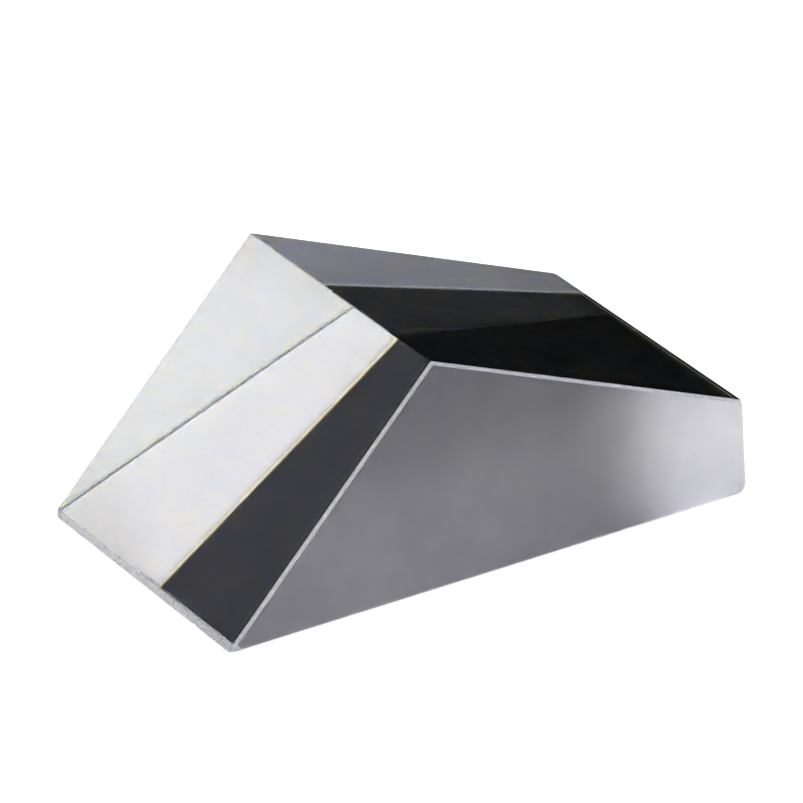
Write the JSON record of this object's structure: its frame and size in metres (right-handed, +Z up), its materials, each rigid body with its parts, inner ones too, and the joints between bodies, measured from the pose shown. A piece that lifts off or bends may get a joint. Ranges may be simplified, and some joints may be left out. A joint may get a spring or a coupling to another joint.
{
  "type": "half-penta prism",
  "caption": "Half-penta prism: solid glass block that turns a beam by 45 degrees, with polished optical faces, ground side faces and fine ground bevels.",
  "frame": {"origin": "middle of the exit face as it is before its edges are ground, on the surface that the prism rests on", "axes": "+X along the exit face from the thin edge to the square end face, +Y across the width between the ground side faces, +Z up from the exit face"},
  "size_m": [0.0508, 0.032, 0.0212],
  "materials": {
    "crown_glass": "uncoated crown glass: polished entrance, exit, mirror and end faces, ground side faces, bevels and thin-edge flat"
  },
  "bodies": {
    "root": {"half_penta_prism": "crown_glass"}
  },
  "joints": []
}
